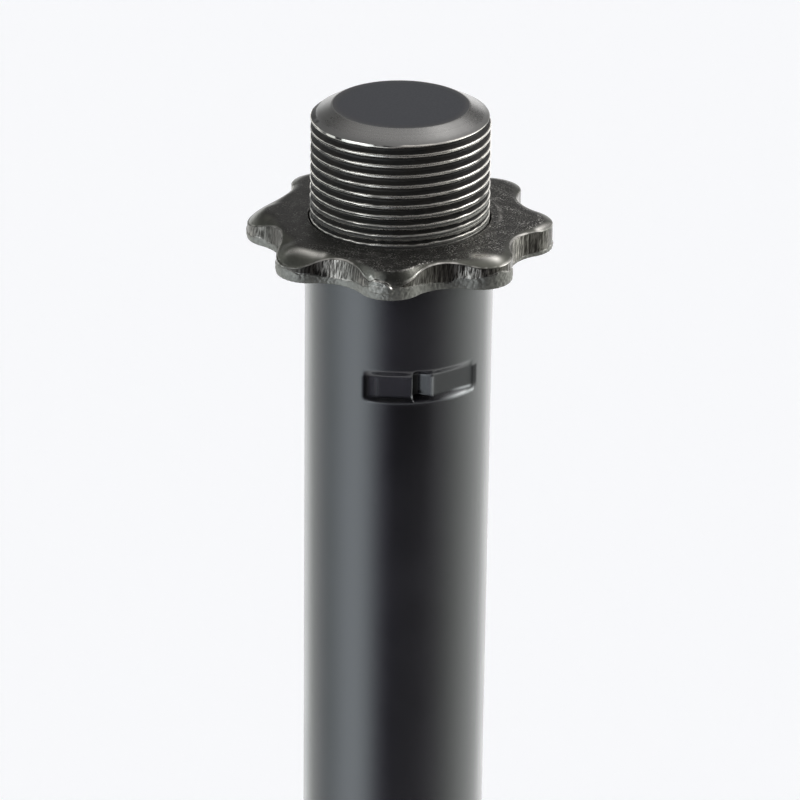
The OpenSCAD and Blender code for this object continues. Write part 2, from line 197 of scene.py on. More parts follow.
def makeWorld(look):
    world = bpy.data.worlds.new("softStudio")
    scene.world = world
    world.use_nodes = True
    tree = world.node_tree
    tree.nodes.clear()
    way = addNode(tree, "TexCoord").outputs["Generated"]
    parts = partsOf(tree, way)
    toFront = times(tree, parts["Y"], -1.0)
    azimuth = mathNode(tree, "ARCTAN2", parts["X"], toFront)
    share = timesPlus(tree, azimuth, 1 / (2 * math.pi), 0.5)
    gain = max(max(stop[1:]) for stop in look["ring"])
    ramp = addNode(tree, "ValToRGB", {"Fac": share})
    ramp.color_ramp.interpolation = "CARDINAL"
    while len(ramp.color_ramp.elements) < len(look["ring"]):
        ramp.color_ramp.elements.new(0.5)
    for element, (angle, *tone) in zip(ramp.color_ramp.elements, look["ring"]):
        element.position = (angle + 180) / 360
        element.color = (*[c / gain for c in tone], 1)
    level = timesPlus(tree, parts["Z"], times(tree, parts["Z"], -1.0), 1.0001)
    backward = mathNode(tree, "DIVIDE", parts["Y"], mathNode(tree, "SQRT", level))
    behind = remap(tree, backward, *look["backSide"])
    hidden = times(tree, behind, remap(tree, parts["Z"], *look["ringBehind"]))
    ringFade = times(tree, remap(tree, parts["Z"], *look["ringTop"], 1.0, 0.0),
                     minus(tree, gain, times(tree, hidden, gain)))
    fadeFrom, fadeTo, left = look["ringFloor"]
    frontLow = times(tree, parts["Z"], -1.0)
    ringFade = times(tree, ringFade, remap(tree, frontLow, fadeFrom, fadeTo, 1.0, left))
    ring = addNode(tree, "Background", {"Color": ramp.outputs["Color"], "Strength": ringFade})
    total = times(tree, behind, remap(tree, parts["Z"], *look["backTop"], look["backLevel"], 0.0))

    def boxLight(direction, edges, dark, bright):
        # brightness by the cosine between a direction and the middle of a soft box
        cosine = addNode(tree, "VectorMath", {0: way, 1: Vector(direction).normalized()},
                         operation="DOT_PRODUCT").outputs["Value"]
        return remap(tree, cosine, *edges, dark, bright)

    ambient = look["ambient"]
    total = plus(tree, total, boxLight(look["overheadFrom"], look["overheadEdge"], ambient, look["overhead"] + ambient))
    total = plus(tree, total, remap(tree, frontLow, *look["lowFrom"], 0.0, look["lowFront"]))
    for direction, outer, inner, brightness in look["boxes"]:
        total = plus(tree, total, boxLight(direction, (outer, inner), 0.0, brightness))
    rest = addNode(tree, "Background", {"Color": (1, 1, 1, 1), "Strength": total})
    lit = addNode(tree, "AddShader", {0: ring.outputs[0], 1: rest.outputs[0]})
    seen = addNode(tree, "Background", {"Color": (*look["pale"], 1), "Strength": 1.0})
    path = addNode(tree, "LightPath").outputs
    plain = larger(tree, path["Is Camera Ray"], path["Is Transmission Ray"])
    mixed = addNode(tree, "MixShader", {0: plain, 1: lit.outputs[0], 2: seen.outputs[0]})
    addNode(tree, "OutputWorld", {"Surface": mixed.outputs[0]})


def makeFloor(look):
    half = look["floorSize"] / 2
    mesh = bpy.data.meshes.new("paleFloor")
    mesh.from_pydata([(-half, -half, 0), (half, -half, 0), (half, half, 0), (-half, half, 0)], [], [(0, 1, 2, 3)])
    floor = bpy.data.objects.new("paleFloor", mesh)
    scene.collection.objects.link(floor)
    material = bpy.data.materials.new("paleFloor")
    material.use_nodes = True
    tree = material.node_tree
    tree.nodes.clear()
    spot = addNode(tree, "TexCoord").outputs["Object"]
    mottle = remap(tree, noise(tree, spot, 1.5, 2.0), 0.3, 0.7)
    tone = blendColor(tree, mottle, look["floorTone"], shade(look["floorTone"], look["floorMottle"]))
    matt = addNode(tree, "BsdfDiffuse", {"Color": tone})
    path = addNode(tree, "LightPath").outputs
    glow = addNode(tree, "Emission", {"Color": (*look["floorLift"], 1), "Strength": path["Is Camera Ray"]})
    both = addNode(tree, "AddShader", {0: matt.outputs[0], 1: glow.outputs[0]})
    addNode(tree, "OutputMaterial", {"Surface": both.outputs[0]})
    mesh.materials.append(material)
    floor.visible_glossy = False  # reflections look past it at the studio


def makeSun(look):
    lamp = bpy.data.lights.new("overheadBox", "SUN")
    lamp.energy, lamp.angle = look["sunStrength"], math.radians(look["sunSpread"])
    sun = bpy.data.objects.new("overheadBox", lamp)
    sun.rotation_mode = "QUATERNION"
    sun.rotation_quaternion = Vector(look["sunFrom"]).to_track_quat("Z", "Y")
    scene.collection.objects.link(sun)
    sun.visible_glossy = False  # it only softens the shadow; the boxes are what surfaces mirror


makeWorld(studio)
makeFloor(studio)
makeSun(studio)
scene.view_settings.view_transform = "Standard"
print("studio lit")

# Surfaces on a grid: rows run along a profile, columns run round the stand


def softStep(x, low, high):
    t = np.clip((x - low) / (high - low), 0, 1)
    return t * t * (3 - 2 * t)


def softFloor(x, blur):
    return 0.5 * (x + np.sqrt(x * x + blur * blur))  # max(x, 0) with a rounded corner


def bell(x, middle, half, strength=1.0, power=2):
    return strength * np.exp(-((x - middle) / half) ** power)


def band(x, start, full, fade, end):
    return softStep(x, start, full) * (1 - softStep(x, fade, end))


def waves(around, along, fewest, most, steep, seed, count=28):
    # sum of cosines that closes on itself round the stand, about as wide as a normal deviate
    draw = np.random.default_rng(seed)
    turns = draw.integers(fewest, most + 1, count)
    slopes, starts = draw.normal(0, steep, count), draw.uniform(0, 2 * math.pi, count)
    total = np.zeros(np.broadcast(around, along).shape)
    for turn, slope, start in zip(turns, slopes, starts):
        total += np.cos(turn * around + slope * along + start)
    return total / math.sqrt(count / 2)


def roundAxis(radius, height, angles):
    # points at a distance from the axis and a height, at every angle
    return np.stack([radius * np.cos(angles), radius * np.sin(angles), height + 0 * angles], -1)


def ringRows(profile, angles):
    # profile rows of (radius, height) carried round the axis
    return roundAxis(profile[:, 0, None], profile[:, 1, None], angles)


def softPath(corners, steps=4):
    # polyline of (radius, height, rounding) with each corner turned into a short arc
    path, last = [], len(corners) - 1
    for i, (x, y, rounding) in enumerate(corners):
        here = np.array([x, y], float)
        if i in (0, last) or rounding <= 0:
            path.append(here[None])
            continue
        before = np.array(corners[i - 1][:2], float) - here
        after = np.array(corners[i + 1][:2], float) - here
        before, after = before / np.linalg.norm(before), after / np.linalg.norm(after)
        t = np.linspace(0, 1, steps + 1)[:, None]
        path.append((1 - t) ** 2 * (here + before * rounding) + 2 * t * (1 - t) * here
                    + t ** 2 * (here + after * rounding))
    return np.vstack(path)


def denser(path, longest):
    # the same path with no stretch longer than asked
    pieces = []
    for a, b in zip(path[:-1], path[1:]):
        count = max(1, int(math.ceil(np.linalg.norm(b - a) / longest)))
        pieces.append(a + (b - a) * (np.arange(count) / count)[:, None])
    return np.vstack(pieces + [path[-1:]])


def gridPiece(name, points, marks=None, closedRows=False, helix=None, sharpOver=None):
    # quads between neighbouring rows and columns; points that coincide become one, and shrunken faces go
    rows, cols = points.shape[:2]
    index = np.arange(rows * cols).reshape(rows, cols)
    beside = np.roll(index, -1, axis=1)
    if helix:  # (first row, last row, rows in one turn): the last column joins the first one a turn higher
        first, last, turn = helix
        climbed = np.minimum(np.arange(first, last + 1) + turn, last)
        beside[first:last + 1, -1] = index[climbed, 0]
    upper, upperBeside = np.roll(index, -1, axis=0), np.roll(beside, -1, axis=0)
    quads = np.stack([index, beside, upperBeside, upper], -1)
    quads = (quads if closedRows else quads[:-1]).reshape(-1, 4)
    spots = points.reshape(-1, 3)
    keys = np.round(spots * 2e4).astype(np.int64)
    _, firsts, merged = np.unique(keys, axis=0, return_index=True, return_inverse=True)
    quads = merged.reshape(-1)[quads]
    repeated = quads == np.roll(quads, -1, axis=1)
    crossed = (quads[:, 0] == quads[:, 2]) | (quads[:, 1] == quads[:, 3])
    kept = (repeated.sum(1) < 2) & ~crossed
    quads, repeated = quads[kept], repeated[kept]
    corners = quads[~repeated]
    sizes = 4 - repeated.sum(1)
    mesh = bpy.data.meshes.new(name)
    mesh.vertices.add(len(firsts))
    mesh.vertices.foreach_set("co", (spots[firsts] * mm).astype(np.float32).ravel())
    mesh.loops.add(len(corners))
    mesh.loops.foreach_set("vertex_index", corners.astype(np.int32))
    mesh.polygons.add(len(sizes))
    mesh.polygons.foreach_set("loop_start", np.concatenate([[0], np.cumsum(sizes)[:-1]]).astype(np.int32))
    mesh.polygons.foreach_set("use_smooth", np.ones(len(sizes), bool))
    mesh.update(calc_edges=True)
    mesh.validate()
    for key, values in (marks or {}).items():
        attribute = mesh.attributes.new(key, "FLOAT", "POINT")
        attribute.data.foreach_set("value", np.asarray(values, np.float32).reshape(-1)[firsts])
    if sharpOver:
        mesh.set_sharp_from_angle(angle=math.radians(sharpOver))
    piece = bpy.data.objects.new(name, mesh)
    scene.collection.objects.link(piece)
    return piece


def fitPiece(piece, material, body, node):
    piece.data.materials.append(material)
    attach(piece, body)
    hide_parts(node)
    print("piece:", piece.name, len(piece.data.polygons), "faces")


# Node groups for effects that several materials share


def sharedGroup(name, output, build, **inputs):
    # one result; an input without a value is a vector
    group = bpy.data.node_groups.new(name, "ShaderNodeTree")
    for label, value in inputs.items():
        kind = "NodeSocketVector" if value is None else "NodeSocketFloat"
        socket = group.interface.new_socket(label, in_out="INPUT", socket_type=kind)
        if value is not None:
            socket.default_value = value
    group.interface.new_socket(output, in_out="OUTPUT", socket_type="NodeSocketFloat")
    given, out = group.nodes.new("NodeGroupInput"), group.nodes.new("NodeGroupOutput")
    group.links.new(build(group, given.outputs), out.inputs[output])
    return group


def axisDistance(tree, parts):
    return mathNode(tree, "SQRT", timesPlus(tree, parts["X"], parts["X"], times(tree, parts["Y"], parts["Y"])))


def fineGrain(group, given):
    # noise stretched to a mask between two levels
    return remap(group, noise(group, given["Vector"], given["Scale"], given["Detail"]), given["Low"], given["High"])


def brokenMask(group, given):
    # a mask eaten into by noise, as worn edges are
    eaten = remap(group, noise(group, given["Vector"], given["Scale"], 4.0), 0.62, 0.38)
    return minus(group, given["Mask"], times(group, eaten, given["Break"]), clamp=True)


def turnedLines(group, given):
    # fine rings left by a lathe, from the distance to the stand's axis
    parts = partsOf(group, given["Vector"])
    across = times(group, axisDistance(group, parts), given["Lines"])
    along = times(group, parts["Z"], given["Lines"])
    return remap(group, noise(group, joined(group, across, along), 1.0, 2.0), 0.3, 0.7)


def restingDust(group, given):
    # dust that lies on faces that look up, in soft patches
    facing = partsOf(group, addNode(group, "NewGeometry").outputs["Normal"])["Z"]
    patch = noise(group, given["Vector"], 60.0, 6.0)
    mask = times(group, remap(group, facing, 0.3, 1.0), remap(group, patch, 0.35, 0.75))
    return times(group, mask, given["Amount"])


def witnessRings(group, given):
    # broken arcs that a tightened part has rubbed round the axis
    parts = partsOf(group, given["Vector"])
    across = times(group, axisDistance(group, parts), given["Rings"])
    turn = mathNode(group, "ARCTAN2", parts["Y"], parts["X"])
    return remap(group, noise(group, joined(group, across, times(group, turn, 0.8)), 1.0, 1.0), 0.6, 0.78)


shared = dict(
    witness=sharedGroup("witnessRings", "Mask", witnessRings, Vector=None, Rings=5200.0),
    grain=sharedGroup("fineGrain", "Grain", fineGrain, Vector=None, Scale=900.0, Detail=3.0, Low=0.35, High=0.65),
    broken=sharedGroup("brokenMask", "Mask", brokenMask, Mask=0.0, Vector=None, Scale=700.0, Break=0.5),
    lines=sharedGroup("turnedLines", "Lines", turnedLines, Vector=None, Lines=6000.0),
    dust=sharedGroup("restingDust", "Dust", restingDust, Vector=None, Amount=0.3),
)


def useGroup(tree, key, **inputs):
    return addNode(tree, "Group", inputs, node_tree=shared[key]).outputs[0]


def grainAt(tree, spot, scale, low=0.3, high=0.7, detail=3.0):
    return useGroup(tree, "grain", Vector=spot, Scale=scale, Detail=detail, Low=low, High=high)


def dusted(tree, spot, color, amount, tone=(0.25, 0.245, 0.235)):
    return blendColor(tree, useGroup(tree, "dust", Vector=spot, Amount=amount), color, tone)


def feedAll(tree, shader, **values):
    for label, value in values.items():
        feed(tree, shader.inputs[label.replace("_", " ")], value)


def newMaterial(name, **fixed):
    material = bpy.data.materials.new(name)
    material.use_nodes = True
    tree = material.node_tree
    shader = tree.nodes["Principled BSDF"]
    feedAll(tree, shader, **fixed)
    return material, tree, shader, addNode(tree, "TexCoord").outputs["Object"]


def markOf(tree, name):
    return addNode(tree, "Attribute", attribute_name=name).outputs["Fac"]


def bumpInto(tree, shader, height, distance, strength):
    made = addNode(tree, "Bump", {"Height": height, "Distance": distance, "Strength": strength})
    tree.links.new(made.outputs["Normal"], shader.inputs["Normal"])


# Stud: blackened steel, its crests worn bright

studLook = dict(
    black=(0.027, 0.0265, 0.026),
    brown=(0.055, 0.043, 0.033),
    bright=(0.74, 0.705, 0.655),
    rubbed=(0.42, 0.41, 0.38),
    bevel=(0.335, 0.328, 0.32),
    face=(0.052, 0.053, 0.060),
    mirrorBlack=0.25,  # half of the shader's usual mirror
    roughBlack=0.5,
    roughBright=0.28,
    roughRubbed=0.46,
    roughBevel=0.27,
    roughFace=0.62,
)


def studSteel(look):
    material, tree, shader, spot = newMaterial("studSteel", Specular_IOR_Level=look["mirrorBlack"])
    worn, rubbed, bevel, face = (markOf(tree, key) for key in ("worn", "rubbed", "bevel", "face"))
    mottle = grainAt(tree, spot, 500.0)
    fine = grainAt(tree, spot, 5200.0, detail=2.0)
    lines = useGroup(tree, "lines", Vector=spot, Lines=9000.0)
    wear = useGroup(tree, "broken", Mask=worn, Vector=spot, Scale=1500.0, Break=0.05)
    wear = remap(tree, wear, 0.12, 0.62)
    black = blendColor(tree, mottle, look["black"], look["brown"])
    black = blendColor(tree, 0.75, black, look["black"])
    rubTone = blendColor(tree, times(tree, fine, 0.45), look["rubbed"], look["black"])
    bevelTone = blendColor(tree, times(tree, lines, 0.12), look["bevel"], look["black"])
    color, rough = layered(tree, black, look["roughBlack"], [
        (rubbed, rubTone, look["roughRubbed"]), (bevel, bevelTone, look["roughBevel"]),
        (face, look["face"], look["roughFace"]), (wear, look["bright"], look["roughBright"])])
    metal = larger(tree, times(tree, rubbed, 0.85), wear)
    metal = larger(tree, times(tree, bevel, 0.95), metal, clamp=True)
    metal = times(tree, metal, minus(tree, 1.0, face, clamp=True))
    rough = timesPlus(tree, fine, 0.06, minus(tree, rough, 0.03))
    feedAll(tree, shader, Base_Color=color, Metallic=metal, Roughness=rough)
    smooth = minus(tree, 0.18, times(tree, larger(tree, bevel, wear), 0.15))
    height = times(tree, fine, smooth)
    height = timesPlus(tree, lines, times(tree, bevel, 0.12), height)
    bumpInto(tree, shader, height, 0.00001, 0.6)
    return material


studShape = dict(
    columns=256,
    perTurn=24,  # rows in one turn of the thread
    depth=0.51,
    rubbedSide=(64.0, 38.0),  # degrees from the front where the crests are rubbed widest, half width
    rubbedWider=0.15,
    # width of the flats on the crests by height over the nut's seat: wide where the rolling ran out
    flats=[(0, 0.64), (2.2, 0.6), (3.4, 0.44), (5.2, 0.28), (7.4, 0.16), (13, 0.15)],
    flatWander=0.08,  # share by which the flats' width wanders
    crestRound=0.045,
    rootRound=0.04,
    cutRound=0.02,  # where the bevel's cone meets the thread
    lineWidth=0.085,
    # share of that width by degrees from the front: hands wear the near side most
    wearBySide=[(-180, 1), (-90, 0.5), (-60, 0.5), (-40, 0.7), (-25, 1.0), (-12, 1.3),
                (8, 1.15), (30, 1.1), (45, 0.9), (62, 0.95), (180, 1)],
    dimSide=(57, 18, 0.2),  # where the worn lines are duller: degrees from the front, half width, how much
    seamDepth=0.05,  # of the groove along the middle of the wide flats
    seamReach=(1.6, 2.6, 5.5, 6.5),  # heights over the seat at which it starts, is full, fades and ends
    # bright burr on the bevel's lower edge: degrees from the front, half width, strength; the left one is ragged
    burrLeft=(-24, 34, 1.2),
    burrRight=(52, 26, 0.7),
    burrRest=0.12,
    topCrestDrop=0.96,  # of the crest at the front, below the end face
    bevelHeight=1.0,
    bevelInset=0.04,
    # land left under the bevel by the cut: degrees from the front, half width, millimetres, how far the cut stands off
    rimLand=(-24.0, 30.0, 0.16, 0.22),
    bevelShift=0.1,  # of the bevel's axis towards the right
    # painted shade on the bevel, by degrees from the front: below 1 it is darker
    bevelShadeBySide=[(-180, 1), (-90, 0.85), (-72, 0.8), (-58, 1), (5, 1), (17, 0.93), (33, 0.92),
                 (47, 0.82), (56, 0.9), (64, 1), (180, 1)],
    rimShadeShare=0.4,  # how much painted shade darkens the bevel towards its rim
    rimFrom=(7.1, 7.8),
    rowsPast=0.35,  # how far the thread's rows go on above the bevel's lower edge
    faceRadius=6.03,
    shankRadius=7.11,
    grooveRadius=5.71,
    grooveBelow=(12.2, 8.9),  # under the seat
    ruggedness=0.010,
)


def threadStud(shape):
    # helical rows: radius falls from the crest by a 60 degree flank to the root, cut by the bevel's cone
    low, high = boxInMm("thread_stud")
    top, major = high[2], high[0]
    cols, turn, pitch = shape["columns"], shape["perTurn"], threadPitch
    share = np.arange(cols) / cols
    angles = 2 * math.pi * share - math.pi / 2
    bevelLow = top - shape["bevelHeight"]
    zoneTop = bevelLow + shape["rowsPast"]
    crest = top - shape["topCrestDrop"]
    first = crest - pitch * math.ceil((crest - seatZ) / pitch + 1)
    count = math.ceil((zoneTop - first) / pitch * turn) + turn + 2
    height = first + pitch * (share[None] + np.arange(count)[:, None] / turn)
    height = np.clip(height, seatZ, zoneTop)
    phase = (height - first) / pitch - share
    side = phase - np.round(phase)
    off = np.abs(side) * pitch  # distance from the nearest crest's middle
    over, wide = np.transpose(shape["flats"])
    flat = np.interp(height - seatZ, over, wide)
    spread = softStep(flat, 0.15, 0.4)
    fromFront = np.mod(np.degrees(angles) + 270, 360) - 180
    rubbedShare = bell(fromFront, *shape["rubbedSide"])
    flat = flat + shape["rubbedWider"] * spread * rubbedShare
    landAt, landHalf, landWide, landOff = shape["rimLand"]
    landShare = bell(fromFront, landAt, landHalf)
    flat = flat + landWide * landShare * softStep(height - bevelLow, -0.4, -0.15)
    flat = flat * (1 + shape["flatWander"] * waves(angles, height, 3, 40, 2.0, 5))
    drop = softFloor((off - flat / 2) * math.sqrt(3), shape["crestRound"])
    drop = shape["depth"] - softFloor(shape["depth"] - drop, shape["rootRound"])
    middle = spread * band(height - seatZ, *shape["seamReach"])
    seam = middle * softStep(-off, -0.07, -0.01)
    drop = drop + shape["seamDepth"] * seam
    drop = drop + shape["ruggedness"] * np.abs(waves(angles, height, 10, 44, 6.0, 11))
    radius = major - np.maximum(drop, 0)

    def coneAt(z):
        outer = major - shape["bevelInset"] + shape["bevelShift"] * np.cos(angles) + landOff * landShare
        return outer - (z - bevelLow) * (outer - shape["faceRadius"]) / shape["bevelHeight"]

    cone = coneAt(height)
    onBevel = softStep(radius - cone, -0.03, 0.02)
    radius = cone - softFloor(cone - radius, shape["cutRound"])
    thread = roundAxis(radius, height, angles)
    shank, groove = shape["shankRadius"], shape["grooveRadius"]
    grooveLow, grooveTop = seatZ - shape["grooveBelow"][0], seatZ - shape["grooveBelow"][1]
    below = denser(softPath([
        (0, low[2], 0), (shank - 1, low[2], 0.1), (shank, low[2] + 1, 0.1), (shank, grooveLow, 0.1),
        (groove, grooveLow, 0.1), (groove, grooveTop, 0.1), (shank, grooveTop, 0.1), (shank, seatZ, 0)]), 1.6)
    face = shape["faceRadius"]
    slope = np.linspace(zoneTop, top, 8)[1:-1]
    coneRadii = np.stack([coneAt(z) for z in slope])
    coneRows = roundAxis(coneRadii, slope[:, None], angles)

    def rimShade(radii):
        return shape["rimShadeShare"] * softStep(radii, *shape["rimFrom"])

    edge = denser(softPath([(face + 0.2, top - 0.1, 0), (face, top, 0.09), (0, top, 0)])[1:], 0.8)
    points = np.vstack([ringRows(below, angles), thread, coneRows, ringRows(edge, angles)])
    edgeR = edge[:, 0, None] + 0 * angles
    isFace = softStep(-edgeR, -face + 0.02, -face + 0.14)

    def bySide(key):
        return np.interp(fromFront, *np.transpose(shape[key]))

    def nearCrest(start, full):
        return softStep(radius, major - start, major - full)

    line = shape["lineWidth"] * bySide("wearBySide")
    worn = softStep(-np.abs(off - flat / 2), -line, -0.35 * line) * nearCrest(0.2, 0.1)
    worn = worn * (1 - spread * softStep(side, 0.0, 0.1) * 0.25) * (1 - onBevel)
    worn = worn * np.clip(0.85 + 0.2 * waves(angles, height, 2, 24, 1.2, 17), 0.4, 1) * (1 - 0.1 * spread)
    worn = worn * (1 - bell(fromFront, *shape["dimSide"]))
    onRim = softStep(-np.abs(height - bevelLow - 0.02), -0.15, -0.06) * nearCrest(0.5, 0.32)
    onLand = softStep(-np.abs(height - bevelLow), -0.24, -0.14) * nearCrest(0.3, 0.12) * (1 - onBevel)
    leftSide = softStep(-fromFront, -4, 8)
    burr = onRim + (onLand - onRim) * leftSide
    cutEdge = softStep(4 * onBevel * (1 - onBevel), 0.1, 0.6) * nearCrest(0.4, 0.3)
    ragEdge = bevelLow + 0.1 + 0.05 * waves(angles, 0.0, 6, 90, 0.0, 37)
    burr = np.maximum(burr, cutEdge * softStep(ragEdge - height, -0.03, 0.05))
    ragged = softStep(waves(angles, height, 8, 40, 1.0, 29), -1.9, 0.6)
    ragged = bell(fromFront, *shape["burrLeft"]) * ragged
    burr = burr * np.clip(ragged + bell(fromFront, *shape["burrRight"]) + shape["burrRest"], 0, 1)
    rubbed = softStep(-off, -flat / 2 - 0.01, -flat / 2 + 0.03) * spread * (1 - onBevel) * (1 - 0.7 * seam)
    rubbed = rubbed * (0.14 + 0.86 * rubbedShare)
    empty = np.zeros((len(below), cols))
    slopes, face0 = np.zeros((len(slope), cols)), 0 * edgeR
    onCone = np.vstack([empty, onBevel * (1 - rimShade(radius)), 1 + slopes - rimShade(coneRadii), 1 - isFace])
    marks = {
        "worn": np.vstack([empty, np.maximum(worn, burr), slopes, face0]),
        "rubbed": np.vstack([empty, rubbed, slopes, face0]),
        # the bevel's mark carries painted shade at its sides and towards its rim
        "bevel": bySide("bevelShadeBySide") * onCone,
        "face": np.vstack([empty, 0 * onBevel, slopes, isFace]),
    }
    start = len(below)
    return gridPiece("threadStud", points, marks, helix=(start, start + count - 1, turn))


fitPiece(threadStud(studShape), studSteel(studLook), "mast", "thread_stud")

# Lock nut: stamped star, sheared and torn edge, upper edge rolled down

nutLook = dict(
    black=(0.08, 0.077, 0.072),
    speck=(0.75, 0.73, 0.69),
    rolled=(0.17, 0.17, 0.146),
    sheared=(0.53, 0.495, 0.455),
    shearedDark=(0.042, 0.038, 0.034),
    torn=(0.27, 0.265, 0.245),
    bright=(0.66, 0.635, 0.6),
    # the next colour is for faint rubbed circles and for painted highlights on the rolled edge
    burnished=(0.74, 0.715, 0.67),
    roughTop=0.47,
    roughRolled=0.34,
    roughSheared=0.3,
    roughTorn=0.56,
    roughBright=0.28,
    roughWearAndHighlight=0.26,
)


def nutSteel(look):
    material, tree, shader, spot = newMaterial("nutSteel", Metallic=0.92)
    rolled, sheared, torn, edge, used = (markOf(tree, key) for key in ("rolled", "sheared", "torn", "edge", "used"))
    arc, down = markOf(tree, "arc"), markOf(tree, "down")
    mottle = grainAt(tree, spot, 420.0)
    speck = grainAt(tree, spot, 7000.0, 0.53, 0.66, detail=2.0)
    patches = grainAt(tree, spot, 260.0, 0.4, 0.62, detail=2.0)
    fine = grainAt(tree, spot, 3000.0, detail=4.0)
    witness = useGroup(tree, "witness", Vector=spot, Rings=5200.0)
    strokes = joined(tree, timesPlus(tree, down, 0.1, arc), times(tree, down, 0.12))
    scrape = noise(tree, strokes, 7.5, 4.0, 0.6)
    scrape = times(tree, remap(tree, scrape, 0.4, 0.62), timesPlus(tree, patches, 0.5, 0.5))
    scrape = times(tree, scrape, markOf(tree, "struck"))
    clusters = grainAt(tree, spot, 850.0, 0.42, 0.62)
    speck = times(tree, speck, timesPlus(tree, clusters, 0.75, 0.25))
    dots = times(tree, speck, timesPlus(tree, used, 0.9, 0.2))
    dots = larger(tree, dots, times(tree, witness, timesPlus(tree, used, 0.16, 0.05)))
    base = blendColor(tree, times(tree, mottle, 0.4), look["black"], shade(look["black"], 0.5))
    color = blendColor(tree, dots, base, look["speck"])
    rolledTone = blendColor(tree, times(tree, mottle, 0.35), look["rolled"], look["black"])
    shearTone = blendColor(tree, scrape, look["shearedDark"], look["sheared"])
    tornTone = blendColor(tree, times(tree, fine, 0.4), look["torn"], look["black"])
    # worn bare edges, and painted highlight lines along the front lobe's rolled edge
    wornAndGlint = useGroup(tree, "broken", Mask=edge, Vector=spot, Scale=1300.0, Break=0.5)
    # painted highlights on the rolled edge, the crown and the flake, with faint rubbed circles on the top
    burnished = markOf(tree, "burnished")
    color, rough = layered(tree, color, look["roughTop"], [
        (rolled, rolledTone, look["roughRolled"]), (sheared, shearTone, look["roughSheared"]),
        (torn, tornTone, look["roughTorn"]), (wornAndGlint, look["bright"], look["roughBright"]),
        (burnished, look["burnished"], look["roughWearAndHighlight"])])
    feedAll(tree, shader, Base_Color=color, Roughness=rough)
    lumps = timesPlus(tree, torn, 1.0, 0.35)
    height = times(tree, fine, lumps)
    height = timesPlus(tree, scrape, times(tree, sheared, 0.9), height)
    height = times(tree, height, minus(tree, 1.0, burnished))
    bumpInto(tree, shader, height, 0.00002, 0.8)
    return material


nutShape = dict(
    columns=960,
    turn=-94.0,
    lobeTips=[13.55, 13.5, 13.5, 13.45, 13.45, 13.45, 13.5, 13.4],  # counterclockwise from the front lobe
    lobeShifts=[0, 0, 0.6, 0, 0, 0, -0.4, 1.0],  # degrees
    scallops=[11.4, 11.22, 11.35, 11.3, 11.3, 11.35, 11.1, 11.4],  # each one after its lobe
    lobeRound=2.8,
    bore=7.985,
    mouth=0.15,
    lobeDrops=[1.34, 0.55, 0.3, 0.24, 0.35, 0.35, 1.2, 1.3],  # how far the rolled edge falls at the tips
    lobeWidths=[0.5, 1.3, 1.1, 1.0, 1.2, 1.2, 1.75, 1.9],  # how far in it starts to fall
    fallPower=1.6,  # how late over that width it falls
    scallopDrop=0.16,
    scallopWidth=0.45,
    edgeRound=0.12,
    # height of the torn band at each lobe and after it
    tornHeights=[1.3, 0.72, 1.4, 0.22, 0.5, 0.3, 0.5, 0.4, 0.6, 0.4, 0.6, 0.3, 0.75, 0.6, 1.1, 0.62],
    tornProud=0.08,
    tornWander=0.06,
    tornRough=0.012,
    bottomRound=(0.05, 0.14),  # in the scallops and at the lobes
    bottomRise=0.6,
    scrapeDepth=0.010,
    usedSide=-20.0,  # degrees, where the top is rubbed most
    flake=dict(sides=(-101.5, -92.0), heights=(0.7, 1.78), proud=0.1, lifted=0.5),
    paintedCrownGlint=(-83.0, 3.6),  # degrees and half width of the painted highlight along the crown's edge
    frontRollShade=(-94.0, 17.0, 0.6),  # painted shade on the front lobe's rolled edge, with a painted highlight line where it starts to fall: degrees, half width, strength
    # faint circles rubbed on the top: radius, half width, degrees, half angle, strength
    circles=[(8.92, 0.09, 4.0, 17.0, 0.45), (9.7, 0.1, -113.0, 12.0, 0.2), (10.1, 0.08, -100.0, 9.0, 0.14)],
    # painted highlight streaks on the rolled edge and the crown's edge: from, to, half width, strength, seen from above
    burnished=[((-9.5, -7.8), (-6.6, -9.25), 0.3, 1.0), ((6.6, -9.3), (8.3, -9.45), 0.46, 1.0),
               ((8.9, -10.3), (9.8, -9.1), 0.2, 1.0), ((12.1, -2.7), (13.3, -1.1), 0.24, 1.0),
               ((-10.3, -8.9), (-9.0, -9.75), 0.12, 0.6)],
    # where the sheared wall is polished: degrees, half width, strength
    struck=[(-119, 6.0, 1.0), (-104, 3, 0.2), (-132, 5, -0.2), (-59.5, 4.5, 1.4), (-25, 5, 0.8), (-11, 4, 0.45),
            (-175, 4.5, 0.7), (64, 6, 0.8), (109, 6, 0.8), (154, 6, 0.8), (19, 6, 0.8)],
    struckRest=0.22,  # how polished it is elsewhere
)


def roundAbout(values, share):
    # values at even steps round the stand, joined smoothly; share runs from 0 to 1
    place = np.mod(share, 1.0) * len(values)
    first = np.floor(place).astype(int) % len(values)
    t = place - np.floor(place)
    t = t * t * (3 - 2 * t)
    values = np.array(values)
    return values[first] * (1 - t) + values[(first + 1) % len(values)] * t


